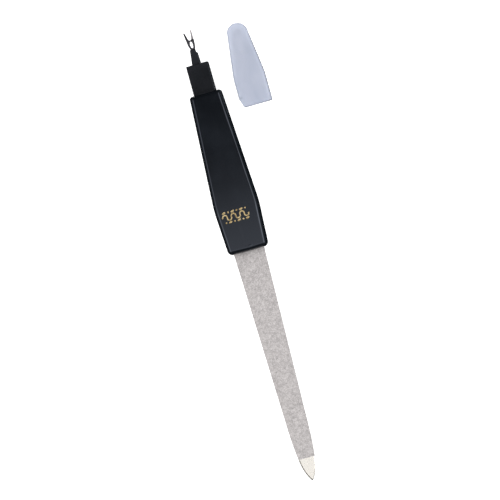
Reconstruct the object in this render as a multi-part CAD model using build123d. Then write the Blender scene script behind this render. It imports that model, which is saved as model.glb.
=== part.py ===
from build123d import *
import os
from math import cos, radians, sin

# Pocket manicure tool: a grit nail file at one end of a moulded handle, a small V-fork
# cuticle trimmer at the other end, and a pull-off cap for the trimmer, lying beside it.
# Millimetres. +Y runs along the tool towards the trimmer, +X across it, +Z up.
# The tool lies on its back; the origin is the middle of the handle's underside.

# --- driving dimensions: handle -------------------------------------------------------
HANDLE_LENGTH = 57.8
HANDLE_THICKNESS = 7.0
SHOULDER_WIDTH = 11.75
SWELL_WIDTH = 16.5
SWELL_FROM_SHOULDER = 41.5
FOOT_WIDTH = 14.7
FOOT_BOW = 0.35
SHOULDER_CORNER = 1.2
SWELL_BLEND = 45.0
FOOT_CORNER = 1.7
SIDE_DRAFT = 0.22
FACE_EDGE_ROUND = 1.55

# --- driving dimensions: nail file ----------------------------------------------------
FILE_REACH = 85.1
FILE_ROOT_WIDTH = 11.1
FILE_WAIST_WIDTH = 7.55
FILE_WAIST_FROM_TIP = 19.4
OGIVE_WIDTH = 5.5
OGIVE_FROM_TIP = 6.9
OGIVE_END_ANGLE = 32.0
FILE_TIP_ROUND = 0.6
FILE_CORE = 0.7
GRIT_LAYER = 0.15
GRIT_END_FROM_TIP = 8.6
TIP_BEVEL_DEPTH = 0.2
TIP_BEVEL_WIDTH = 0.45
FILE_INSET = 1.6
TANG_LENGTH = 24.0
TANG_WIDTH = 7.0
TANG_HOLE = 2.6
TANG_HOLE_INSET = 8.0

# --- driving dimensions: trimmer holder -----------------------------------------------
NECK_WIDTH = 8.0
NECK_LENGTH = 10.6
NECK_THICKNESS = 5.0
NECK_EDGE_ROUND = 0.25
WEDGE_LENGTH = 1.35
WEDGE_RISE = 0.4
STEM_BASE_LEFT = 1.85
STEM_BASE_RIGHT = 1.4
STEM_CORNER_RIGHT = 1.3
STEM_TIP_WALL = 0.35
STEM_TIP_RIGHT = 0.2
STEM_LENGTH = 5.5
STEM_THICKNESS = 2.4
STEM_SLANT = 1.6
STEM_EDGE_ROUND = 0.35
ROOT_WIDTH = 6.6
ROOT_THICKNESS = 3.2
ROOT_LENGTH = 11.0
ROOT_FOOT_WIDTH = 8.6
ROOT_FOOT_LENGTH = 2.6

# --- driving dimensions: trimmer fork -------------------------------------------------
FORK_REACH = 23.2
FORK_STEEL = 0.45
FORK_WAIST_WIDTH = 1.6
FORK_HEAD_WIDTH = 2.75
FORK_SPREAD = 3.2
FORK_WAIST_FLARE = 0.5
FORK_HEAD_FLARE = 0.05
FORK_TINE_LENGTH = 3.7
FORK_TINE_LAG = 0.4
FORK_NOTCH_RADIUS = 0.55
FORK_NOTCH_MOUTH = 2.1
FORK_WINDOW_WIDTH = 0.95
FORK_WINDOW_LENGTH = 2.4
FORK_BRIDGE = 0.5
FORK_EDGE_BEVEL = 0.32
FORK_GUTTER_RADIUS = 2.3
FORK_CANT = 3.2
FORK_TANG_WIDTH = 0.9
FORK_TANG_LENGTH = 12.0

# --- driving dimensions: cap ----------------------------------------------------------
CAP_WIDTH = 11.15
CAP_SEAT_LENGTH = 10.5
CAP_TAPER_END_WIDTH = 7.15
CAP_END_ROUND = 3.1
CAP_KNEE_BLEND = 16.0
CAP_FLAT_LENGTH = 18.0
CAP_END_THICKNESS = 5.0
CAP_EDGE_ROUND = 0.9
CAP_RIM_ROUND = 0.2
CAP_END_WALL = 2.2
CAP_TIP_ROOM = 4.1
CAP_NOSE_FACE_WALL = 1.05
RIM_BEVEL_WIDTH = 1.0
RIM_BEVEL_LENGTH = 3.2
GATE_DIMPLE = 0.8
GATE_DIMPLE_DEPTH = 0.35
GATE_DIMPLE_FROM_MOUTH = 3.3
CAP_GAP = 5.3
CAP_BEHIND_SHOULDER = 8.6

# --- driving dimensions: locating pins, foil flourish, moulding marks --------------------
PIN_DIAMETER = 2.0
PIN_HEIGHT = 1.6
PIN_EDGE_INSET = 3.0
FLOURISH_WIDTH = 9.4
FLOURISH_HEIGHT = 4.3
FLOURISH_FROM_SHOULDER = 44.7
FLOURISH_ASIDE = -0.95
FLOURISH_STROKE = 0.45
FLOURISH_BENDS = 6
LEAF_LENGTH = 1.35
LEAF_WIDTH = 0.7
LEAF_TILT = 20.0
BERRY = 0.62
FOIL = 0.06
GATE_MARK_WIDTH = 1.5
GATE_MARK_LENGTH = 0.7
GATE_MARK_DEPTH = 0.25
GATE_MARK_INSET = 1.8

# --- clearances -----------------------------------------------------------------------
SEAT_FIT = 0.05
POCKET_FIT = 0.05
PIN_FIT = 0.04

# --- shared places --------------------------------------------------------------------
shoulder_y = HANDLE_LENGTH / 2
foot_y = -HANDLE_LENGTH / 2
swell_y = shoulder_y - SWELL_FROM_SHOULDER
mid_z = HANDLE_THICKNESS / 2
file_tip_y = foot_y - FILE_REACH
grit_end_y = file_tip_y + GRIT_END_FROM_TIP
tang_hole_y = foot_y + FILE_INSET + TANG_HOLE_INSET
neck_top_y = shoulder_y + NECK_LENGTH
stem_top_y = neck_top_y + STEM_LENGTH
cap_length = FORK_REACH + CAP_TIP_ROOM + CAP_END_WALL
cap_side_wall = (CAP_WIDTH - NECK_WIDTH) / 2 - SEAT_FIT


def box(width, length, height, x=0.0, y=0.0, z=0.0):
    """A block by its size and the place of its middle."""
    return Pos(x, y, z) * Box(width, length, height)


def plate(outline, thickness, z):
    """A flat plate of a plan outline, centred on height z."""
    return Pos(0, 0, z) * extrude(outline, amount=thickness / 2, both=True)


def raised(outline, height):
    """A plan outline raised upwards from z = 0."""
    return extrude(outline, amount=height, dir=(0, 0, 1))


def drawn_in(outline, height, inset):
    """A plan outline raised upwards from z = 0 while it shrinks by the inset all round."""
    upper = Pos(0, 0, height) * offset(outline, amount=-inset)
    return loft([outline.face(), upper.face()], ruled=True)


# --- nail file ------------------------------------------------------------------------
def file_outline():
    """Plan of the blade from inside the handle to its pointed tip."""
    taper = (FILE_ROOT_WIDTH - FILE_WAIST_WIDTH) / 2 / (FILE_REACH - FILE_WAIST_FROM_TIP)
    root_half = FILE_ROOT_WIDTH / 2 + taper * FILE_INSET
    root = Vector(root_half, foot_y + FILE_INSET)
    waist = Vector(FILE_WAIST_WIDTH / 2, file_tip_y + FILE_WAIST_FROM_TIP)
    ogive = Vector(OGIVE_WIDTH / 2, file_tip_y + OGIVE_FROM_TIP)
    tip = Vector(0, file_tip_y)
    end_slope = radians(OGIVE_END_ANGLE)
    right_side = Curve() + [
        Line(root, waist),
        TangentArc(waist, ogive, tangent=waist - root),
        Spline(ogive, tip, tangents=[ogive_heading(waist, ogive, root), (-sin(end_slope), -cos(end_slope))]),
    ]
    left_side = mirror(right_side, about=Plane.YZ)
    top = Line(root, (-root_half, root.Y))
    outline = make_face(right_side + left_side + top)
    point = outline.vertices().sort_by(Axis.Y)[0]
    return fillet(point, radius=FILE_TIP_ROUND)


def ogive_heading(waist, ogive, root):
    """Direction of the blade's edge where its gentle arc ends."""
    chord = ogive - waist
    entry = waist - root
    turn = 2 * entry.get_signed_angle(chord, Vector(0, 0, 1))
    return entry.rotate(Axis.Z, turn).normalized()


def tang_outline():
    """Plan of the hidden tang, with a round end and the locating hole."""
    base_y = foot_y + FILE_INSET
    straight = TANG_LENGTH - TANG_WIDTH / 2
    shape = Pos(0, base_y + straight / 2) * Rectangle(TANG_WIDTH, straight)
    shape += Pos(0, base_y + straight) * Circle(TANG_WIDTH / 2)
    return shape - Pos(0, tang_hole_y) * Circle(TANG_HOLE / 2)


def below(outline, y, reach):
    """The part of an outline on the tip side of a line across the blade."""
    return outline & Pos(0, y - reach / 2) * Rectangle(reach, reach)


def bare_tip():
    """The uncoated end of the blade, ground to a bevel along both faces."""
    tip = plate(below(file_outline(), grit_end_y, FILE_REACH), FILE_CORE, mid_z)
    for turn in (0, 1):
        face = tip.faces().sort_by(Axis.Z)[-turn]
        rim = face.edges().filter_by(lambda e: e.center().Y < grit_end_y - SEAT_FIT)
        tip = chamfer(rim, TIP_BEVEL_WIDTH, TIP_BEVEL_DEPTH, reference=face)
    return tip


def file_blade():
    outline = file_outline()
    coated = outline - below(outline, grit_end_y, FILE_REACH)
    blade = plate(coated, FILE_CORE, mid_z)
    blade += plate(tang_outline(), FILE_CORE, mid_z)
    return blade + bare_tip()


def grit_outline():
    """Plan of the abrasive layer: the blade without its bare tip, just into the handle."""
    outline = file_outline()
    inside_handle = Pos(0, foot_y + FILE_INSET) * Rectangle(2 * FILE_ROOT_WIDTH, FILE_INSET)
    return outline - below(outline, grit_end_y, FILE_REACH) - inside_handle


def abrasive_coat(side):
    z = mid_z + side * (FILE_CORE + GRIT_LAYER) / 2
    return plate(grit_outline(), GRIT_LAYER, z)


# --- trimmer holder -------------------------------------------------------------------
def neck_wedge(side):
    """Low ramp across one face of the neck, at its foot, that tightens on the cap."""
    face = NECK_THICKNESS / 2
    ramp = Polyline(
        (shoulder_y, side * face),
        (shoulder_y, side * (face + WEDGE_RISE)),
        (shoulder_y + WEDGE_LENGTH, side * face),
        close=True,
    )
    width = NECK_WIDTH - 4 * NECK_EDGE_ROUND
    return Pos(0, 0, mid_z) * extrude(Plane.YZ * make_face(ramp), amount=width / 2, both=True)


def stem():
    """Finger that carries the fork: one side slants in all the way, the other has a cut corner."""
    tip = FORK_WAIST_WIDTH / 2 + STEM_TIP_WALL
    sunk_y = neck_top_y - STEM_EDGE_ROUND
    outline = Polyline(
        (-STEM_BASE_LEFT, sunk_y),
        (-tip, stem_top_y),
        (STEM_TIP_RIGHT, stem_top_y),
        (STEM_CORNER_RIGHT, stem_top_y - STEM_SLANT),
        (STEM_BASE_RIGHT, sunk_y),
        close=True,
    )
    body = plate(make_face(outline), STEM_THICKNESS, mid_z)
    rims = body.edges().filter_by(lambda e: abs(e.center().Z - mid_z) > STEM_THICKNESS / 2.1)
    return fillet(rims.filter_by(lambda e: e.center().Y > neck_top_y), STEM_EDGE_ROUND)


def holder_root(fit=0.0):
    """T-shaped root of the holder inside the handle; fit grows it into its pocket."""
    leg_y = shoulder_y - ROOT_LENGTH / 2
    foot_middle_y = shoulder_y - ROOT_LENGTH + ROOT_FOOT_LENGTH / 2
    height = ROOT_THICKNESS + 2 * fit
    leg = box(ROOT_WIDTH + 2 * fit, ROOT_LENGTH + 2 * fit, height, 0, leg_y, mid_z)
    foot = box(ROOT_FOOT_WIDTH + 2 * fit, ROOT_FOOT_LENGTH + 2 * fit, height, 0, foot_middle_y, mid_z)
    return leg + foot


def fork_tang(fit=0.0):
    """Flat shank of the fork inside the stem; fit grows it into its slot."""
    length = FORK_TANG_LENGTH + 2 * fit
    return box(
        FORK_TANG_WIDTH + 2 * fit,
        length,
        FORK_STEEL + 2 * fit,
        0,
        stem_top_y - FORK_TANG_LENGTH / 2,
        mid_z,
    )


def trimmer_holder():
    neck = box(NECK_WIDTH, NECK_LENGTH, NECK_THICKNESS, 0, shoulder_y + NECK_LENGTH / 2, mid_z)
    top_edges = neck.faces().sort_by(Axis.Y)[-1].edges()
    neck = fillet(neck.edges().filter_by(Axis.Y) + top_edges, NECK_EDGE_ROUND)
    body = neck + stem() + neck_wedge(1) + neck_wedge(-1) + holder_root()
    slot_mouth = box(
        FORK_WAIST_WIDTH + 2 * SEAT_FIT,
        2 * STEM_SLANT,
        FORK_STEEL + 2 * SEAT_FIT,
        0,
        stem_top_y,
        mid_z,
    )
    return body - fork_tang(SEAT_FIT) - slot_mouth


# --- trimmer fork ---------------------------------------------------------------------
def fork_limb(side, tip_y):
    """Outer edge of one limb of the fork, from the waist to its point; side is 1 right, -1 left."""
    waist = (side * FORK_WAIST_WIDTH / 2, stem_top_y)
    widest_y = shoulder_y + FORK_REACH - FORK_TINE_LENGTH - FORK_BRIDGE
    widest = (side * FORK_HEAD_WIDTH / 2, widest_y)
    tip = (side * FORK_SPREAD / 2, tip_y)
    return Spline(waist, widest, tip, tangents=[(FORK_WAIST_FLARE * side, 1), (FORK_HEAD_FLARE * side, 1)])


def fork_outline():
    """Plan of the fork's head from its waist to its two points; the left point lags a little."""
    tip_y = shoulder_y + FORK_REACH
    lag_y = tip_y - FORK_TINE_LAG
    root_y = tip_y - FORK_TINE_LENGTH
    window_y = root_y - FORK_BRIDGE - FORK_WINDOW_LENGTH / 2
    tip = FORK_SPREAD / 2
    waist = FORK_WAIST_WIDTH / 2
    tips = Line((tip, tip_y), (-tip, lag_y))
    foot = Line((-waist, stem_top_y), (waist, stem_top_y))
    body = make_face(Curve() + [fork_limb(1, tip_y), fork_limb(-1, lag_y), tips, foot])
    notch_y = root_y + FORK_NOTCH_RADIUS
    mouth_y = tip_y - FORK_NOTCH_RADIUS
    notch = Polyline(
        (-FORK_NOTCH_RADIUS, notch_y),
        (-FORK_NOTCH_MOUTH / 2, mouth_y - FORK_TINE_LAG),
        (-tip, lag_y),
        (tip, tip_y),
        (FORK_NOTCH_MOUTH / 2, mouth_y),
        (FORK_NOTCH_RADIUS, notch_y),
        close=True,
    )
    body -= make_face(notch)
    body -= Pos(0, notch_y) * Circle(FORK_NOTCH_RADIUS)
    return body - Pos(0, window_y) * Ellipse(FORK_WINDOW_WIDTH / 2, FORK_WINDOW_LENGTH / 2)


def trimmer_fork():
    """Stamped steel fork: flat tang, gutter-shaped head, bevelled cutting edge at the V."""
    length = 3 * FORK_REACH
    outer = Cylinder(FORK_GUTTER_RADIUS + FORK_STEEL / 2, length, rotation=(90, 0, 0))
    inner = Cylinder(FORK_GUTTER_RADIUS - FORK_STEEL / 2, length, rotation=(90, 0, 0))
    gutter = Pos(0, shoulder_y, FORK_GUTTER_RADIUS) * (outer - inner)
    blank = extrude(fork_outline(), amount=FORK_GUTTER_RADIUS, both=True)
    head = gutter & blank
    notch_y = shoulder_y + FORK_REACH - FORK_TINE_LENGTH + FORK_NOTCH_RADIUS
    cutter = Cone(
        FORK_NOTCH_RADIUS,
        FORK_NOTCH_RADIUS + FORK_EDGE_BEVEL,
        FORK_STEEL,
    )
    head -= Pos(0, notch_y, 0) * cutter
    pivot = Pos(0, stem_top_y, mid_z)
    canted = pivot * Rot(0, 0, FORK_CANT) * Pos(0, -stem_top_y, 0) * head
    waist = FORK_WAIST_WIDTH
    knuckle = box(waist, waist, FORK_STEEL, 0, stem_top_y - waist / 4, mid_z)
    return canted + knuckle + fork_tang()


# --- handle mouldings -----------------------------------------------------------------
def handle_outline():
    """Plan of the handle at the parting plane."""
    shoulder = SHOULDER_WIDTH / 2
    swell = SWELL_WIDTH / 2
    foot = FOOT_WIDTH / 2
    right_side = Polyline((shoulder, shoulder_y), (swell, swell_y), (foot, foot_y))
    left_side = mirror(right_side, about=Plane.YZ)
    top = Line((-shoulder, shoulder_y), (shoulder, shoulder_y))
    bottom = ThreePointArc((-foot, foot_y), (0, foot_y - FOOT_BOW), (foot, foot_y))
    outline = make_face(right_side + left_side + top + bottom)
    corners = outline.vertices().group_by(Axis.Y)
    outline = fillet(corners[0], radius=FOOT_CORNER)
    outline = fillet(outline.vertices().group_by(Axis.Y)[-1], radius=SHOULDER_CORNER)
    swells = [v for v in outline.vertices() if abs(abs(v.X) - swell) < SEAT_FIT]
    return fillet(swells, radius=SWELL_BLEND)


def locating_places():
    """Middles of the pins that line the two mouldings up, four in the corners."""
    near_shoulder = shoulder_y - ROOT_LENGTH - PIN_EDGE_INSET
    beside_tang = foot_y + FILE_INSET + TANG_LENGTH - PIN_EDGE_INSET
    upper_x = SHOULDER_WIDTH / 2 - PIN_EDGE_INSET
    lower_x = (TANG_WIDTH + SWELL_WIDTH) / 4
    return [
        (-upper_x, near_shoulder),
        (upper_x, near_shoulder),
        (-lower_x, beside_tang),
        (lower_x, beside_tang),
    ]


def pockets():
    """Hollows inside the handle for the file's root and tang and for the holder's root."""
    taper = (FILE_ROOT_WIDTH - FILE_WAIST_WIDTH) / (FILE_REACH - FILE_WAIST_FROM_TIP)
    mouth_width = FILE_ROOT_WIDTH + taper * FILE_INSET + 2 * POCKET_FIT
    mouth_depth = FILE_INSET + POCKET_FIT + FOOT_BOW + POCKET_FIT
    mouth_height = FILE_CORE + 2 * GRIT_LAYER + 2 * POCKET_FIT
    mouth_y = foot_y + FILE_INSET + POCKET_FIT - mouth_depth / 2
    mouth = box(mouth_width, mouth_depth, mouth_height, 0, mouth_y, mid_z)
    tang_y = foot_y + FILE_INSET + TANG_LENGTH / 2
    tang = box(
        TANG_WIDTH + 2 * POCKET_FIT,
        TANG_LENGTH + 2 * POCKET_FIT,
        FILE_CORE + 2 * POCKET_FIT,
        0,
        tang_y,
        mid_z,
    )
    return [mouth, tang, holder_root(POCKET_FIT)]


def moulding(side):
    """One half of the handle, from the parting plane to the face on that side."""
    half = drawn_in(handle_outline(), mid_z, SIDE_DRAFT)
    rim = half.faces().sort_by(Axis.Z)[-1].edges()
    half = fillet(rim, FACE_EDGE_ROUND)
    turn = 0 if side > 0 else 180
    half = Pos(0, 0, mid_z) * Rot(0, turn, 0) * half
    for hollow in pockets():
        half -= hollow
    return half


def front_moulding():
    shell = moulding(1)
    socket_depth = PIN_HEIGHT + 2 * PIN_FIT
    for x, y in locating_places():
        shell -= Pos(x, y, mid_z + socket_depth / 2) * Cylinder(PIN_DIAMETER / 2 + PIN_FIT, socket_depth)
    tang_socket = Cylinder(TANG_HOLE / 2, socket_depth)
    shell -= Pos(0, tang_hole_y, mid_z + socket_depth / 2) * tang_socket
    mark_y = foot_y + GATE_MARK_INSET
    mark = raised(Ellipse(GATE_MARK_WIDTH / 2, GATE_MARK_LENGTH / 2), 2 * GATE_MARK_DEPTH)
    shell -= Pos(0, mark_y, HANDLE_THICKNESS - GATE_MARK_DEPTH) * mark
    return shell


def back_moulding():
    shell = moulding(-1)
    for x, y in locating_places():
        shell += Pos(x, y, mid_z + PIN_HEIGHT / 2 - PIN_FIT) * Cylinder(PIN_DIAMETER / 2, PIN_HEIGHT)
    pin_radius = TANG_HOLE / 2 - PIN_FIT
    pin_base = mid_z - FILE_CORE
    pin_top = mid_z + PIN_HEIGHT
    tang_pin = Cylinder(pin_radius, pin_top - pin_base)
    return shell + Pos(0, tang_hole_y, (pin_top + pin_base) / 2) * tang_pin


# --- foil flourish --------------------------------------------------------------------
def foil_flourish():
    """A vine that sways from side to side, a leaf outside each bend and a berry inside it."""
    step = FLOURISH_WIDTH / FLOURISH_BENDS
    sway = FLOURISH_HEIGHT / 2 - LEAF_WIDTH - FLOURISH_STROKE
    reach = (FLOURISH_HEIGHT - LEAF_WIDTH) / 2
    vine = []
    dots = []
    for i in range(FLOURISH_BENDS):
        side = (-1) ** i
        x = step * (i + 0.5) - FLOURISH_WIDTH / 2
        vine.append(ThreePointArc((x - step / 2, 0), (x, side * sway), (x + step / 2, 0)))
        leaf = Ellipse(LEAF_LENGTH / 2, LEAF_WIDTH / 2, rotation=LEAF_TILT)
        dots.append(Pos(x, side * reach) * leaf)
        dots.append(Pos(x, -side * reach) * Circle(BERRY / 2))
    pattern = Sketch() + [trace(vine, FLOURISH_STROKE), *dots]
    place = Pos(FLOURISH_ASIDE, shoulder_y - FLOURISH_FROM_SHOULDER, HANDLE_THICKNESS)
    return place * raised(pattern, FOIL)


# --- cap ------------------------------------------------------------------------------
def cap_plan(inset, length):
    """Plan of the cap, mouth on the X axis: parallel seat, knee, taper and round end."""
    seat = CAP_WIDTH / 2 - inset
    end = CAP_TAPER_END_WIDTH / 2 - inset
    round_y = length - CAP_END_ROUND
    right_side = Polyline((seat, 0), (seat, CAP_SEAT_LENGTH), (end, round_y))
    left_side = mirror(right_side, about=Plane.YZ)
    mouth = Line((-seat, 0), (seat, 0))
    crown = EllipticalCenterArc((0, round_y), end, CAP_END_ROUND, 0, arc_size=180)
    outline = make_face(right_side + left_side + mouth + crown)
    knees = [v for v in outline.vertices() if abs(v.Y - CAP_SEAT_LENGTH) < SEAT_FIT]
    return fillet(knees, radius=CAP_KNEE_BLEND)


def cap_side(seat_height, end_height, flat, length):
    """Side view of the cap, mouth at zero: flat at first, then drawn in to its nose."""
    top = Polyline((0, seat_height / 2), (flat, seat_height / 2), (length, end_height / 2))
    bottom = Polyline((0, -seat_height / 2), (flat, -seat_height / 2), (length, -end_height / 2))
    mouth = Line((0, seat_height / 2), (0, -seat_height / 2))
    nose = Line((length, end_height / 2), (length, -end_height / 2))
    return make_face(top + bottom + mouth + nose)


def cap_form(inset, length, seat_height, end_height):
    plan = extrude(cap_plan(inset, length), amount=seat_height, both=True)
    side = Plane.YZ * cap_side(seat_height, end_height, CAP_FLAT_LENGTH, length)
    return plan & extrude(side, amount=CAP_WIDTH, both=True)


def cap():
    shell = cap_form(0.0, cap_length, HANDLE_THICKNESS, CAP_END_THICKNESS)
    faces_up_and_down = shell.edges().filter_by(lambda e: abs(e.center().Z) > CAP_END_THICKNESS / 2.2)
    lengthwise = faces_up_and_down.filter_by(lambda e: e.bounding_box().size.Y > SEAT_FIT)
    shell = fillet(lengthwise, CAP_EDGE_ROUND)
    room = NECK_THICKNESS + 2 * SEAT_FIT
    nose_room = CAP_END_THICKNESS - 2 * CAP_NOSE_FACE_WALL
    shell -= cap_form(cap_side_wall, cap_length - CAP_END_WALL, room, nose_room)
    wedge_room = box(
        NECK_WIDTH + 2 * SEAT_FIT,
        2 * (WEDGE_LENGTH + SEAT_FIT),
        room + 2 * WEDGE_RISE,
    )
    shell -= wedge_room
    bevel = Polyline(
        (-CAP_WIDTH / 2, RIM_BEVEL_LENGTH),
        (-CAP_WIDTH / 2 + RIM_BEVEL_WIDTH, 0),
        (-CAP_WIDTH / 2 + RIM_BEVEL_WIDTH, -1),
        (-CAP_WIDTH / 2 - 1, -1),
        (-CAP_WIDTH / 2 - 1, RIM_BEVEL_LENGTH),
        close=True,
    )
    shell -= extrude(make_face(bevel), amount=HANDLE_THICKNESS, both=True)
    rim = shell.faces().filter_by(lambda f: abs(f.center().Y) < SEAT_FIT).edges()
    mouth_wall = (HANDLE_THICKNESS - room) / 2 - WEDGE_RISE
    shell = fillet(rim, min(CAP_RIM_ROUND, mouth_wall / 2.2))
    dimple_z = HANDLE_THICKNESS / 2 - GATE_DIMPLE_DEPTH / 2
    dimple = Cylinder(GATE_DIMPLE / 2, GATE_DIMPLE_DEPTH)
    shell -= Pos(-CAP_WIDTH / 2 + RIM_BEVEL_WIDTH, GATE_DIMPLE_FROM_MOUTH, dimple_z) * dimple
    cap_x = SHOULDER_WIDTH / 2 + CAP_GAP + CAP_WIDTH / 2
    return Pos(cap_x, shoulder_y - CAP_BEHIND_SHOULDER, mid_z) * shell


# --- write the nodes ------------------------------------------------------------------
def all_nodes():
    return {
        "handle_front_moulding": front_moulding(),
        "handle_back_moulding": back_moulding(),
        "file_blade": file_blade(),
        "abrasive_front": abrasive_coat(1),
        "abrasive_back": abrasive_coat(-1),
        "trimmer_holder": trimmer_holder(),
        "trimmer_fork": trimmer_fork(),
        "foil_flourish": foil_flourish(),
        "trimmer_cap": cap(),
    }


os.makedirs("parts", exist_ok=True)
for name, shape in all_nodes().items():
    export_step(shape, f"parts/{name}.step")
    size = shape.bounding_box().size
    print(f"{name}: {shape.volume:.2f} mm3, {size.X:.2f} x {size.Y:.2f} x {size.Z:.2f}")
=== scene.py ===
# %% [markdown]
# # A pocket manicure tool, finished in Blender
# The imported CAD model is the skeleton: every piece already lies in its place, in metres.
# This lesson gives those pieces their real edges, grain and materials, one step at a time.
# It could all be modelled from nothing here, but then sizes would drift away from the part
# that moves and fits, so each step measures the CAD pieces and builds on them.

import math
import bmesh
import bpy
from mathutils import Matrix, Vector, noise
from mathutils.bvhtree import BVHTree


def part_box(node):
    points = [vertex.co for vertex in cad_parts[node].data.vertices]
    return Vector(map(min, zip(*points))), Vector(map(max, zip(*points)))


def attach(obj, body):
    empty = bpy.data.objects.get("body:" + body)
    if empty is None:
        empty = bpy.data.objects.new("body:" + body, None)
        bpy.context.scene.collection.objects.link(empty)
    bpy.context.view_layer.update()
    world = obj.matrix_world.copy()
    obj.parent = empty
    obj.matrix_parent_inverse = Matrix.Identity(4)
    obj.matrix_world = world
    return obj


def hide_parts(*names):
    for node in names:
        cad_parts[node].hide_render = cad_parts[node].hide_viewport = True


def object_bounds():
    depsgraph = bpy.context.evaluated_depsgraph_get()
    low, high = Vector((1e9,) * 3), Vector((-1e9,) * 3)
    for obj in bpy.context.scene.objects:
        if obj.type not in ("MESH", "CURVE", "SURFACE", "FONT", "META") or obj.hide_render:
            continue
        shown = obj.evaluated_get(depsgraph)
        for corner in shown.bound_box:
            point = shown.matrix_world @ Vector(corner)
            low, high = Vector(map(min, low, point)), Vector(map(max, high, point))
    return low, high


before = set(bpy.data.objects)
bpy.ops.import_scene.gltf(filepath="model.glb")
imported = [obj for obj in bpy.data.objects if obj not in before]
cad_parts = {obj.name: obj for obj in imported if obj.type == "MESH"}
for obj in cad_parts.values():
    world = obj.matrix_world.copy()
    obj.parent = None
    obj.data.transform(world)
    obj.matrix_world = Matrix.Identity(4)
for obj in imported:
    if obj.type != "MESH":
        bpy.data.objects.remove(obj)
cad_low, cad_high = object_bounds()
MM = 0.001
print("CAD box in mm:", [round(side / MM, 2) for side in cad_high - cad_low])

# %% [markdown]
# ## Places that the later steps share
# The front half of the handle gives four places: its face, the parting plane between the two
# halves, the foot and the shoulder. They could be typed in by hand, but they would be wrong as
# soon as the part changes. A measured place follows it.

# %% Measure the handle
face_low, face_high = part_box("handle_front_moulding")
face_z = face_high.z
parting_z = face_low.z
foot_y = face_low.y
shoulder_y = face_high.y
print("handle from", round(foot_y / MM, 2), "to", round(shoulder_y / MM, 2), "mm")
print("face at", round(face_z / MM, 2), "mm, parting plane at", round(parting_z / MM, 2), "mm")

# %% [markdown]
# ## A white tent with dark cards
# Small glossy tools are lit in a white tent: light comes from every side, so shadows almost
# vanish. What gives black plastic its shape is what it mirrors: a large cool panel over the
# foot's end, a black card over the trimmer's end, a bright sleeve at each side, and darkness
# low down. Separate lamps could do it, but each one throws a shadow and shows a hard outline
# in the polish. Here the world itself is the tent. Scattered rays see plain white, and
# mirrored rays see the panel, the card and the sleeves, so gloss and shadow are set apart.

# %% Colours and nodes
def hex_colour(text):
    """An sRGB colour such as "c8c1be" as the linear RGBA that Blender's sockets take."""
    channels = [int(text[i:i + 2], 16) / 255 for i in (0, 2, 4)]
    linear = [c / 12.92 if c <= 0.04045 else ((c + 0.055) / 1.055) ** 2.4 for c in channels]
    return (*linear, 1.0)


def add(tree, kind, values=None, stops=(), **settings):
    """Adds one node. settings are its own properties, values fill or link its input sockets,
    and stops are the (place, colour) pairs of a colour ramp, in order."""
    made = tree.nodes.new("ShaderNode" + kind)
    for name, value in settings.items():
        setattr(made, name, value)
    for key, value in (values or {}).items():
        if isinstance(value, bpy.types.NodeSocket):
            tree.links.new(value, made.inputs[key])
        else:
            made.inputs[key].default_value = value
    for index, (place, colour) in enumerate(stops):
        elements = made.color_ramp.elements
        element = elements[index] if index < len(elements) else elements.new(1.0)
        element.position = place
        element.color = colour
    return made


print("half grey in linear light:", [round(part, 3) for part in hex_colour("808080")])

# %% How bright the tent and its cards are
TENT_LIGHT = 2.0
PANEL_LIGHT = 1.25
BLACK_CARD_LIGHT = 0.08
LEFT_SLEEVE_LIGHT, RIGHT_SLEEVE_LIGHT = 1.6, 2.1
LOW_LIGHT = 0.06
print("tent brightness", TENT_LIGHT, "panel", PANEL_LIGHT, "sleeves", LEFT_SLEEVE_LIGHT, RIGHT_SLEEVE_LIGHT)


# %% [markdown]
# Cycles knows what each ray has just done, so one tent can look different to different rays.
# A ray mirrored off a surface counts as glossy, but so does one that has just passed into the
# milky cap, and that one should see the plain tent or the cap turns dark. So the helper asks
# for rays that are glossy and not passing. The light table below uses the same helper.

# %% Tell mirrored rays apart
def mirrored_only(tree):
    """One for rays mirrored off a surface and zero for the camera's, scattered and passing rays."""
    path = add(tree, "LightPath")
    not_passing = add(tree, "Math", {0: 1.0, 1: path.outputs["Is Transmission Ray"]}, operation="SUBTRACT")
    mirrored_ray = add(tree, "Math", {
        0: path.outputs["Is Glossy Ray"], 1: not_passing.outputs["Value"],
    }, operation="MULTIPLY")
    return mirrored_ray.outputs["Value"]


# %% Put up the tent
# These edges are soft steps, given as how far a ray leans for each unit that it climbs.
CARD_EDGE = (-0.006, 0.036)
NEAR_EDGE = (-0.55, -0.3)
SLEEVE_EDGE = (0.2, 0.45)
# This edge is given as the climb itself, from 0 for a level ray to 1 for one straight up.
LOW_EDGE = (0.66, 0.76)
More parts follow.
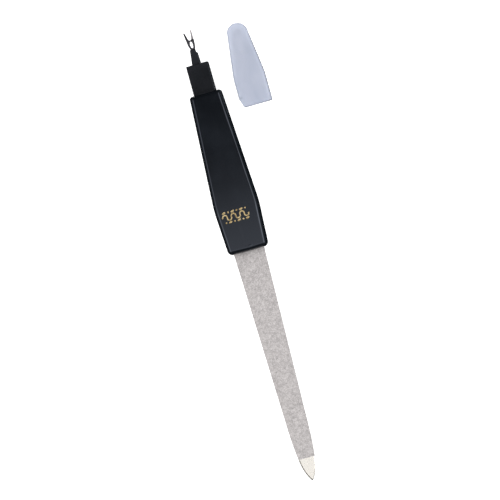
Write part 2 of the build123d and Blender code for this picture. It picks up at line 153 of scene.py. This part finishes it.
# Level and falling rays count as climbing this little, so that nothing is divided by zero.
LEAST_CLIMB = 0.001
scene = bpy.context.scene
scene.view_settings.view_transform = "Standard"
world = bpy.data.worlds.new("light_tent")
scene.world = world
world.use_nodes = True
tent = world.node_tree
tent.nodes.clear()
ray = add(tent, "SeparateXYZ", {"Vector": add(tent, "TexCoord").outputs["Generated"]})
climb = add(tent, "Math", {0: ray.outputs["Z"], 1: LEAST_CLIMB}, operation="MAXIMUM")
lean_right = add(tent, "Math", {0: ray.outputs["X"], 1: climb.outputs["Value"]}, operation="DIVIDE")
lean_left = add(tent, "Math", {0: lean_right.outputs["Value"], 1: -1.0}, operation="MULTIPLY")
lean_up = add(tent, "Math", {0: ray.outputs["Y"], 1: climb.outputs["Value"]}, operation="DIVIDE")
steps = []
for reads, edge, before, after in (
    (lean_up.outputs["Value"], NEAR_EDGE, BLACK_CARD_LIGHT, 1.0),
    (lean_up.outputs["Value"], CARD_EDGE, PANEL_LIGHT, BLACK_CARD_LIGHT),
    (lean_left.outputs["Value"], SLEEVE_EDGE, 0.0, LEFT_SLEEVE_LIGHT),
    (lean_right.outputs["Value"], SLEEVE_EDGE, 0.0, RIGHT_SLEEVE_LIGHT),
    (ray.outputs["Z"], LOW_EDGE, LOW_LIGHT, 1.0),
):
    step = add(tent, "MapRange", {
        "Value": reads, "From Min": edge[0], "From Max": edge[1], "To Min": before, "To Max": after,
    }, interpolation_type="SMOOTHSTEP")
    steps.append(step.outputs["Result"])
panel_start, panel_end, left_sleeve, right_sleeve, above_low = steps
panel = add(tent, "Math", {0: panel_end, 1: panel_start}, operation="MULTIPLY")
sleeves = add(tent, "Math", {0: left_sleeve, 1: right_sleeve}, operation="ADD")
upper = add(tent, "Math", {0: panel.outputs["Value"], 1: sleeves.outputs["Value"]}, operation="ADD")
mirrored = add(tent, "Math", {0: upper.outputs["Value"], 1: above_low}, operation="MULTIPLY")
plain = add(tent, "Background", {"Color": hex_colour("ffffff"), "Strength": TENT_LIGHT})
shaped = add(tent, "Background", {"Color": hex_colour("e4ecff"), "Strength": mirrored.outputs["Value"]})
whole_tent = add(tent, "MixShader", {
    "Fac": mirrored_only(tent), 1: plain.outputs["Background"], 2: shaped.outputs["Background"],
})
add(tent, "OutputWorld", {"Surface": whole_tent.outputs["Shader"]})
print("the tent has", len(steps), "soft steps and", len(tent.nodes), "nodes")

# %% [markdown]
# ## The light table
# The floor is a light table: white acrylic lit from above and below, so that shadows burn out
# and the tool seems cut out on white. A plain white sheet could do, but black plastic would
# mirror it at a shallow angle and get a pale rim. In a studio, dark cards laid beside the tool
# stop that. One shader stands for both: mirrored rays see the dark cards, and all other rays
# see the white table.

# %% The light table
FLOOR_SIZE = 3.0
FLOOR_DROP = 0.03 * MM
TABLE_GLOW = 0.5
bm = bmesh.new()
bmesh.ops.create_grid(bm, x_segments=1, y_segments=1, size=FLOOR_SIZE / 2)
bmesh.ops.translate(bm, verts=bm.verts, vec=(0, 0, cad_low.z - FLOOR_DROP))
floor_mesh = bpy.data.meshes.new("light_table")
bm.to_mesh(floor_mesh)
bm.free()
floor = bpy.data.objects.new("light_table", floor_mesh)
scene.collection.objects.link(floor)
acrylic = bpy.data.materials.new("white_acrylic_lit_from_below")
acrylic.use_nodes = True
sheet = acrylic.node_tree
sheet.nodes.clear()
lit_above = add(sheet, "BsdfDiffuse", {"Color": hex_colour("f2f2f2")})
lit_below = add(sheet, "Emission", {"Color": hex_colour("ffffff"), "Strength": TABLE_GLOW})
white_table = add(sheet, "AddShader", {0: lit_above.outputs["BSDF"], 1: lit_below.outputs["Emission"]})
dark_cards = add(sheet, "BsdfDiffuse", {"Color": hex_colour("0d1014")})
seen = add(sheet, "MixShader", {
    "Fac": mirrored_only(sheet), 1: white_table.outputs["Shader"], 2: dark_cards.outputs["BSDF"],
})
add(sheet, "OutputMaterial", {"Surface": seen.outputs["Shader"]})
floor_mesh.materials.append(acrylic)
print("light table", FLOOR_SIZE, "m square at height", round((cad_low.z - FLOOR_DROP) / MM, 3), "mm")

# %% [markdown]
# ## Smooth copies of the moulded and stamped pieces
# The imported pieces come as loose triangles. Moulded plastic never has a knife edge: where the
# two halves of the handle meet, each edge is a little round, and light draws a thin line along
# it. One way is to shade the CAD meshes as they are and fake the edge in the material. Here a
# copy of each piece is merged into one clean skin instead, so that a real bevel can follow its
# edges and show from every side.

# %% A merged copy of a CAD piece
WELD = 0.002 * MM
FLAT_ANGLE = math.radians(0.6)
CREASE_ANGLE = math.radians(34)


def merged_copy(node):
    """A CAD node as a bmesh with its doubles merged and its flat areas made single faces."""
    skin = bmesh.new()
    skin.from_mesh(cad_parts[node].data)
    bmesh.ops.remove_doubles(skin, verts=skin.verts, dist=WELD)
    bmesh.ops.dissolve_limit(
        skin, angle_limit=FLAT_ANGLE, use_dissolve_boundaries=False, verts=skin.verts, edges=skin.edges
    )
    return skin


def finish_piece(skin, name, node, body, material, smooth=True, crease=CREASE_ANGLE):
    """Writes a bmesh to a new object that stands for a CAD node and rides on its body."""
    mesh = bpy.data.meshes.new(name)
    skin.to_mesh(mesh)
    skin.free()
    piece = bpy.data.objects.new(name, mesh)
    scene.collection.objects.link(piece)
    mesh.materials.append(material)
    if smooth:
        mesh.shade_smooth()
        mesh.set_sharp_from_angle(angle=crease)
        weighted = piece.modifiers.new("weighted normals", "WEIGHTED_NORMAL")
        weighted.keep_sharp = True
    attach(piece, body)
    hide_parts(node)
    print(name, len(mesh.polygons), "faces")
    return piece


print("corners within", WELD / MM, "mm merge")
print("creases start at", round(math.degrees(CREASE_ANGLE)), "degrees")

# %% [markdown]
# ## Black ABS, moulded and polished
# The handle is ABS, a tough plastic that copies the polish of its steel mould. Up close it
# still has a faint grain from the mould, tiny scratches from handbags, and a slightly uneven
# sheen. One flat black could stand for it, but would look like a hole. Here the colour hardly
# changes and the roughness does, and that is what the eye reads as plastic. All patterns are
# set in millimetres on Object coordinates, so they stay put on the piece in every pose.

# %% A material's frame
def new_material(name):
    """A material with a Principled shader. Returns it with its tree, shader and Object coordinates."""
    material = bpy.data.materials.new(name)
    material.use_nodes = True
    tree = material.node_tree
    shader = tree.nodes["Principled BSDF"]
    coordinates = add(tree, "TexCoord").outputs["Object"]
    return material, tree, shader, coordinates


def per_mm(size_mm):
    """The scale that makes one repeat of a pattern this many millimetres on a metre grid."""
    return 1 / (size_mm * MM)


print("a pattern that repeats every 2 mm has scale", per_mm(2))

# %% Black ABS for the handle
CLOUD_MM = 9
SCRATCH_MM, SCRATCH_TURN, SCRATCH_STRETCH = 0.45, 0.35, 0.04
SCUFF_SHARE = 0.02
MOULD_GRAIN_STRENGTH, MOULD_GRAIN_DEPTH = 0.06, 0.01 * MM
ABS_IOR = 1.54


def moulded_abs(name, colour, dusty, rough_low, rough_high, grain_mm):
    """Black ABS. A low roughness mirrors the tent in sharp edges, a higher one in soft bands."""
    material, tree, shader, place = new_material(name)
    clouds = add(tree, "TexNoise", {"Vector": place, "Scale": per_mm(CLOUD_MM), "Detail": 4.0})
    tint = add(tree, "ValToRGB", {"Fac": clouds.outputs["Fac"]}, stops=[
        (0.35, hex_colour(colour)), (0.75, hex_colour(dusty)),
    ])
    # Scratches 0.05 mm wide are too fine to show, so these are drawn three times as wide.
    along = add(tree, "Mapping", {
        "Vector": place, "Rotation": (0, 0, SCRATCH_TURN), "Scale": (1, SCRATCH_STRETCH, 1),
    })
    scratches = add(tree, "TexNoise", {
        "Vector": along.outputs["Vector"], "Scale": per_mm(SCRATCH_MM), "Detail": 2.0,
    })
    thin = add(tree, "ValToRGB", {"Fac": scratches.outputs["Fac"]}, stops=[
        (0.68, hex_colour("000000")), (0.74, hex_colour("ffffff")),
    ])
    share = add(tree, "Math", {0: thin.outputs["Color"], 1: SCUFF_SHARE}, operation="MULTIPLY")
    scuffed = add(tree, "Mix", {
        "Factor": share.outputs["Value"], "A": tint.outputs["Color"], "B": hex_colour("6b6e74"),
    }, data_type="RGBA")
    tree.links.new(scuffed.outputs["Result"], shader.inputs["Base Color"])
    sheen = add(tree, "MapRange", {
        "Value": clouds.outputs["Fac"], "From Min": 0.3, "From Max": 0.7,
        "To Min": rough_low, "To Max": rough_high,
    })
    tree.links.new(sheen.outputs["Result"], shader.inputs["Roughness"])
    # Mould grain is under 0.1 mm and would not show, so grain_mm is drawn several times as coarse.
    grain = add(tree, "TexNoise", {"Vector": place, "Scale": per_mm(grain_mm), "Detail": 3.0})
    relief = add(tree, "Bump", {
        "Height": grain.outputs["Fac"], "Strength": MOULD_GRAIN_STRENGTH, "Distance": MOULD_GRAIN_DEPTH,
    })
    tree.links.new(relief.outputs["Normal"], shader.inputs["Normal"])
    shader.inputs["IOR"].default_value = ABS_IOR
    return material


handle_abs = moulded_abs("black_abs_polished", "06080b", "0a0d11", 0.07, 0.1, 0.5)
holder_abs = moulded_abs("black_abs_satin", "08090b", "0c0d10", 0.16, 0.22, 0.35)
print("made", handle_abs.name, "and", holder_abs.name)

# %% [markdown]
# ## The two halves of the handle
# The halves are pressed together over the file's tang and the trimmer's root. The only
# trace outside is the parting line round the middle. It could be a dark line painted in the
# material, but a real groove catches light on both its edges. So both halves get the same
# treatment: take the copy, find the rim of the parting face, and bevel it. The rim is found
# by a walk along its edges from the widest point, so the pockets inside stay sharp and
# untouched.

# %% Round the parting rim of both halves
PARTING_ROUND = 0.12 * MM


def outer_rim(skin):
    """The chain of sharp edges on the parting face that starts at its widest point."""
    rim = [
        edge for edge in skin.edges
        if all(abs(vert.co.z - parting_z) < WELD for vert in edge.verts)
        and len(edge.link_faces) == 2 and edge.calc_face_angle() > CREASE_ANGLE
    ]
    on_rim = set(rim)
    outermost = max((vert for edge in rim for vert in edge.verts), key=lambda vert: vert.co.x)
    chain, waiting = set(), [outermost]
    while waiting:
        vert = waiting.pop()
        for edge in vert.link_edges:
            if edge in on_rim and edge not in chain:
                chain.add(edge)
                waiting.append(edge.other_vert(vert))
    return [edge for edge in rim if edge in chain]


for node, name in (
    ("handle_front_moulding", "handle_front_shell"),
    ("handle_back_moulding", "handle_back_shell"),
):
    half = merged_copy(node)
    rim = outer_rim(half)
    print(name, "rim edges", len(rim))
    bmesh.ops.bevel(
        half, geom=rim, offset=PARTING_ROUND, offset_type="OFFSET", segments=2, profile=0.5,
        affect="EDGES", material=-1, clamp_overlap=True,
    )
    finish_piece(half, name, node, "tool", handle_abs)

# %% [markdown]
# ## The trimmer's holder
# The neck and the stem that carry the fork are one moulding, of the same black ABS from a
# duller mould. It could share the handle's polish, but then the neck would shine like the
# handle and vanish against it. The copy is merged as before and keeps its own shape. Only the
# angle that counts as sharp is lower, for the shallow ramp that tightens the cap.

# %% Finish the holder
# The ramp at the neck's foot rises at 16 degrees and has to keep its crisp edge.
RAMP_CREASE = math.radians(14)
holder = merged_copy("trimmer_holder")
finish_piece(
    holder, "neck_and_stem", "trimmer_holder", "tool", holder_abs, crease=RAMP_CREASE
)

# %% [markdown]
# ## Nickel-plated steel for the file
# The blade is spring steel under a thin, slightly warm nickel plate. Only its tip shows: it
# is ground to a bevel and polished, so it carries fine lines from the polishing belt. A metal
# takes its colour from its base colour. The lines could be colour too, but they are cuts, so
# most of them lives in roughness and relief, and the tip glints where it faces the panel.

# %% Nickel plate
BELT_LINE_MM, BELT_TURN, BELT_STRETCH = 0.12, 0.12, 0.03
BELT_LINE_STRENGTH, BELT_LINE_DEPTH = 0.15, 0.01 * MM


def nickel_plate():
    material, tree, shader, place = new_material("nickel_plated_steel_polished")
    # Belt lines are about 0.03 mm apart; drawn 0.12 mm apart to show at all.
    across = add(tree, "Mapping", {
        "Vector": place, "Scale": (1, BELT_STRETCH, 1), "Rotation": (0, 0, BELT_TURN),
    })
    lines = add(tree, "TexNoise", {
        "Vector": across.outputs["Vector"], "Scale": per_mm(BELT_LINE_MM), "Detail": 3.0,
    })
    tint = add(tree, "ValToRGB", {"Fac": lines.outputs["Fac"]}, stops=[
        (0.3, hex_colour("f1e4cb")), (0.7, hex_colour("fff4de")),
    ])
    tree.links.new(tint.outputs["Color"], shader.inputs["Base Color"])
    sheen = add(tree, "MapRange", {
        "Value": lines.outputs["Fac"], "From Min": 0.3, "From Max": 0.7, "To Min": 0.14, "To Max": 0.25,
    })
    tree.links.new(sheen.outputs["Result"], shader.inputs["Roughness"])
    relief = add(tree, "Bump", {
        "Height": lines.outputs["Fac"], "Strength": BELT_LINE_STRENGTH, "Distance": BELT_LINE_DEPTH,
    })
    tree.links.new(relief.outputs["Normal"], shader.inputs["Normal"])
    shader.inputs["Metallic"].default_value = 1.0
    return material


nickel = nickel_plate()
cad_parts["file_blade"].data.materials.clear()
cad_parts["file_blade"].data.materials.append(nickel)
print("file_blade wears", nickel.name)

# %% [markdown]
# ## Corundum grit
# The rough faces are crushed corundum, grains of about 0.1 mm bonded in nickel. A bump map
# alone looks flat at the edges, so the surface is real relief: a fine grid is laid over the
# blade, pulled in to the blade's width, and every point is raised by how near it is to the
# middle of a grain. The width is felt with rays against the CAD layer, so it follows the
# blade's slow taper and the narrowing at its waist.

# %% Feel the width of the coat
def width_feeler(node):
    """A function that gives half the width of a CAD layer at a place along the tool."""
    skin = bmesh.new()
    skin.from_mesh(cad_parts[node].data)
    low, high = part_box(node)
    tree = BVHTree.FromBMesh(skin)
    skin.free()
    middle_z = (low.z + high.z) / 2

    def half_width(y):
        inside = min(max(y, low.y + WELD), high.y - WELD)
        hit = tree.ray_cast(Vector((2 * high.x, inside, middle_z)), Vector((-1, 0, 0)))[0]
        return hit.x if hit else 0.0

    return half_width


front_low, front_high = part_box("abrasive_front")
front_half_width = width_feeler("abrasive_front")
for y in (front_low.y, (front_low.y + front_high.y) / 2, front_high.y):
    print("coat's half width", round(front_half_width(y) / MM, 2), "mm at", round(y / MM, 1), "mm")

# %% The colour of corundum
# Grains of 0.1 mm are too fine to show, so they are drawn at 0.26 mm. Each grain gets its own
# grey, and slow patches of dust lie over them, so that the eye sees a dry, sparkling crust.
GRAIN_MM = 0.26
DUST_MM = 1.1


def corundum():
    material, tree, shader, place = new_material("corundum_grit_in_nickel")
    grains = add(tree, "TexVoronoi", {"Vector": place, "Scale": per_mm(GRAIN_MM)})
    grain_tint = add(tree, "ValToRGB", {"Fac": grains.outputs["Color"]}, stops=[
        (0.1, hex_colour("706d6b")), (0.5, hex_colour("898584")), (0.95, hex_colour("aea9a8")),
    ])
    dust = add(tree, "TexNoise", {
        "Vector": place, "Scale": per_mm(DUST_MM), "Detail": 5.0, "Roughness": 0.65,
    })
    dust_tint = add(tree, "ValToRGB", {"Fac": dust.outputs["Fac"]}, stops=[
        (0.35, hex_colour("777372")), (0.65, hex_colour("a19d9c")),
    ])
    mixed = add(tree, "Mix", {
        "Factor": 0.5, "A": grain_tint.outputs["Color"], "B": dust_tint.outputs["Color"],
    }, data_type="RGBA")
    tree.links.new(mixed.outputs["Result"], shader.inputs["Base Color"])
    dull = add(tree, "MapRange", {"Value": dust.outputs["Fac"], "To Min": 0.5, "To Max": 0.8})
    tree.links.new(dull.outputs["Result"], shader.inputs["Roughness"])
    return material


grit = corundum()
print("made", grit.name)

# %% Lay the grains
GRID_STEP = 0.19 * MM
# The hollows between the grains lie at this share of the coat's thickness.
HOLLOW_SHARE = 0.42
# A crown loses this share of its height at one grain's distance from its middle, and in the
# lowest patches a whole crown has only the second share of its height.
CROWN_FALL = 0.95
LOWEST_CROWN = 0.65
PATCH_MM, PATCH_SEED = 1.3, 7
# The coat's lower end is not cut straight: it frays by this depth, and only close to the end.
FRAY_DEPTH, FRAY_WAVES, FRAY_FADE = 0.25 * MM, 6, 40


def grain_height(point, seed):
    """From 0 between the grains to 1 on top of one, with some grains standing higher."""
    place = Vector((point.x / MM / GRAIN_MM, point.y / MM / GRAIN_MM, seed))
    near, _ = noise.voronoi(place, distance_metric="DISTANCE")
    crown = max(0.0, 1.0 - CROWN_FALL * near[0])
    spot = Vector((point.x / MM / PATCH_MM, point.y / MM / PATCH_MM, seed + PATCH_SEED))
    patch = 0.5 + 0.5 * noise.noise(spot)
    return crown * (LOWEST_CROWN + (1 - LOWEST_CROWN) * patch)


def grit_coat(node, name, seed, material):
    """A closed grid over one face of the blade, with every grain raised and a frayed lower end."""
    low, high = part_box(node)
    faces_up = low.z > parting_z
    base_z, top_z = (low.z, high.z) if faces_up else (high.z, low.z)
    half_width = width_feeler(node)
    rows = round((high.y - low.y) / GRID_STEP)
    columns = round(2 * high.x / GRID_STEP)
    coat = bmesh.new()
    bmesh.ops.create_grid(coat, x_segments=columns, y_segments=rows, size=0.5)
    for vert in coat.verts:
        # The grid starts one unit wide and long: across runs from -1 to 1, along from 0 to 1.
        across, along = 2 * vert.co.x, vert.co.y + 0.5
        y = low.y + along * (high.y - low.y)
        fray = FRAY_DEPTH * (0.5 + 0.5 * noise.noise(Vector((across * FRAY_WAVES, seed, 0))))
        y += fray * (1 - along) ** FRAY_FADE
        vert.co = Vector((across * half_width(y), y, base_z))
    raised = bmesh.ops.extrude_face_region(coat, geom=coat.faces[:], use_keep_orig=True)
    for vert in raised["geom"]:
        if isinstance(vert, bmesh.types.BMVert):
            height = HOLLOW_SHARE + (1 - HOLLOW_SHARE) * grain_height(vert.co, seed)
            vert.co.z = base_z + (top_z - base_z) * height
    bmesh.ops.recalc_face_normals(coat, faces=coat.faces[:])
    open_edges = sum(not edge.is_manifold for edge in coat.edges)
    print(name, "rows", rows, "columns", columns, "open edges", open_edges)
    return finish_piece(coat, name, node, "tool", material, smooth=False)


grit_coat("abrasive_front", "grit_coat_front", 11, grit)
grit_coat("abrasive_back", "grit_coat_back", 23, grit)

# %% [markdown]
# ## The trimmer's fork
# The fork is stamped from thin steel and hardened. Its right tine is the blade. Its colour is
# painted light and shade: a dark steel tone is painted shade over most of the fork, and a
# lighter tone past a line on the right tine is a painted highlight where the side light falls.
# It could be two pieces, one dark and one bright, but the real fork is one sheet, so one
# material turns bright past that line. The shader is only partly metallic, and to the eye that
# is a soft, smoky sheen beside one bright edge.

# %% Hardened steel
GRINDING_LINE_MM, GRINDING_TURN, GRINDING_STRETCH = 0.09, 0.5, 0.08
# Past this line along the tool and this far across it, the right tine gets a painted highlight.
HIGHLIGHT_FROM = shoulder_y + 19.6 * MM
HIGHLIGHT_EDGES = {"X": (0.1 * MM, 0.3 * MM), "Y": (HIGHLIGHT_FROM, HIGHLIGHT_FROM + 0.3 * MM)}
FORK_METALLIC = 0.4


def hardened_steel():
    material, tree, shader, place = new_material("hardened_steel_painted_shade_and_highlight")
    # Grinding lines are about 0.02 mm apart; drawn 0.09 mm apart to show at all.
    across = add(tree, "Mapping", {
        "Vector": place, "Scale": (GRINDING_STRETCH, 1, 1), "Rotation": (0, 0, GRINDING_TURN),
    })
    lines = add(tree, "TexNoise", {
        "Vector": across.outputs["Vector"], "Scale": per_mm(GRINDING_LINE_MM), "Detail": 2.0,
    })
    # The dark steel tone is painted shade and the light steel tone is a painted highlight.
    painted_shade_tone = add(tree, "ValToRGB", {"Fac": lines.outputs["Fac"]}, stops=[
        (0.3, hex_colour("1c1b1d")), (0.7, hex_colour("343235")),
    ])
    painted_highlight_tone = add(tree, "ValToRGB", {"Fac": lines.outputs["Fac"]}, stops=[
        (0.3, hex_colour("868182")), (0.7, hex_colour("9b9697")),
    ])
    # The mask picks out the right tine past the line, where the painted highlight goes.
    axes = add(tree, "SeparateXYZ", {"Vector": place})
    past = []
    for axis, (start, end) in HIGHLIGHT_EDGES.items():
        step = add(tree, "MapRange", {
            "Value": axes.outputs[axis], "From Min": start, "From Max": end,
        }, interpolation_type="SMOOTHSTEP")
        past.append(step.outputs["Result"])
    painted_highlight_mask = add(tree, "Math", {0: past[0], 1: past[1]}, operation="MULTIPLY")
    tint = add(tree, "Mix", {
        "Factor": painted_highlight_mask.outputs["Value"], "A": painted_shade_tone.outputs["Color"], "B": painted_highlight_tone.outputs["Color"],
    }, data_type="RGBA")
    tree.links.new(tint.outputs["Result"], shader.inputs["Base Color"])
    sheen = add(tree, "MapRange", {"Value": lines.outputs["Fac"], "To Min": 0.31, "To Max": 0.5})
    tree.links.new(sheen.outputs["Result"], shader.inputs["Roughness"])
    shader.inputs["Metallic"].default_value = FORK_METALLIC
    return material


fork_steel = hardened_steel()
fork = merged_copy("trimmer_fork")
finish_piece(fork, "cutting_fork", "trimmer_fork", "tool", fork_steel)

# %% [markdown]
# ## Gold foil
# The decoration is hot-stamped foil: a film of metal pressed on with heat. It could be a
# yellow colour in the plastic, but then it would not flash as the tool turns. It is a real
# metal surface, only very thin, so it wears away in specks. The CAD layer keeps its shape
# here and gets a metal that is pale gold where it is whole and brown where it is worn.

# %% Stamp the foil
# Worn specks in foil are a few tenths of a millimetre across.
WEAR_MM = 0.3


def gold_foil():
    material, tree, shader, place = new_material("gold_foil_hot_stamped")
    wear = add(tree, "TexNoise", {"Vector": place, "Scale": per_mm(WEAR_MM), "Detail": 4.0})
    tint = add(tree, "ValToRGB", {"Fac": wear.outputs["Fac"]}, stops=[
        (0.36, hex_colour("7a6038")), (0.5, hex_colour("c4a872")), (0.8, hex_colour("e8d5a8")),
    ])
    tree.links.new(tint.outputs["Color"], shader.inputs["Base Color"])
    sheen = add(tree, "MapRange", {"Value": wear.outputs["Fac"], "To Min": 0.3, "To Max": 0.55})
    tree.links.new(sheen.outputs["Result"], shader.inputs["Roughness"])
    shader.inputs["Metallic"].default_value = 1.0
    return material


foil = gold_foil()
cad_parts["foil_flourish"].data.materials.clear()
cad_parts["foil_flourish"].data.materials.append(foil)
print("foil_flourish wears", foil.name)

# %% [markdown]
# ## The translucent cap
# The cap is polystyrene with a little lavender dye, moulded so that it lets light through but
# hides what is inside. A real fog inside its walls could do that, but it renders slowly and
# full of noise. Here the shader lets a part of the light pass and scatters the rest, and the
# cap's two walls do the veiling. To the eye that is cool, smooth and milky, with faint lines
# where the walls meet.

# %% Lavender polystyrene
FLOW_MM, FLOW_STRETCH = 4, 0.35
POLYSTYRENE_IOR = 1.59
LIGHT_LET_THROUGH = 0.45


def milky_polystyrene():
    material, tree, shader, place = new_material("lavender_polystyrene_moulded")
    flow = add(tree, "Mapping", {"Vector": place, "Scale": (1, FLOW_STRETCH, 1)})
    clouds = add(tree, "TexNoise", {
        "Vector": flow.outputs["Vector"], "Scale": per_mm(FLOW_MM), "Detail": 3.0,
    })
    tint = add(tree, "ValToRGB", {"Fac": clouds.outputs["Fac"]}, stops=[
        (0.3, hex_colour("a9afbe")), (0.7, hex_colour("b4b9c7")),
    ])
    tree.links.new(tint.outputs["Color"], shader.inputs["Base Color"])
    sheen = add(tree, "MapRange", {"Value": clouds.outputs["Fac"], "To Min": 0.14, "To Max": 0.2})
    tree.links.new(sheen.outputs["Result"], shader.inputs["Roughness"])
    shader.inputs["IOR"].default_value = POLYSTYRENE_IOR
    shader.inputs["Transmission Weight"].default_value = LIGHT_LET_THROUGH
    return material


cap_plastic = milky_polystyrene()
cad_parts["trimmer_cap"].data.materials.clear()
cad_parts["trimmer_cap"].data.materials.append(cap_plastic)
print("trimmer_cap wears", cap_plastic.name)

# %% [markdown]
# ## The camera
# The tool is seen almost straight from above, turned so that its fork points up and a little
# to the left. A short lens close by would splay its sides, so a long lens looks from far away
# and keeps them nearly parallel. The camera leans a few degrees to the cap's side, so that a
# thin strip of the right wall shows.

# %% Aim the camera
LENS_MM = 200.0
SENSOR_MM = 36.0
VIEW_WIDTH = 176.65 * MM
TOOL_TURN = math.radians(15.5)
SIDE_LEAN = math.radians(4.0)
AIM_ASIDE, AIM_UP = 0.64 * MM, 0.3 * MM
NEAREST_SEEN = 0.01
aim = Vector((AIM_ASIDE, foot_y + AIM_UP, face_z))
distance = VIEW_WIDTH * LENS_MM / SENSOR_MM
picture_right = Vector((math.cos(TOOL_TURN), -math.sin(TOOL_TURN), 0))
back = Vector((math.sin(SIDE_LEAN), 0, math.cos(SIDE_LEAN)))
camera_data = bpy.data.cameras.new("catalogue_camera")
camera_data.lens = LENS_MM
camera_data.sensor_width = SENSOR_MM
camera_data.clip_start = NEAREST_SEEN
camera = bpy.data.objects.new("catalogue_camera", camera_data)
scene.collection.objects.link(camera)
right = (picture_right - back * picture_right.dot(back)).normalized()
up = back.cross(right)
camera.matrix_world = Matrix((right, up, back)).transposed().to_4x4()
camera.location = aim + back * distance
scene.camera = camera
print("camera", round(distance / MM), "mm from the handle's foot")
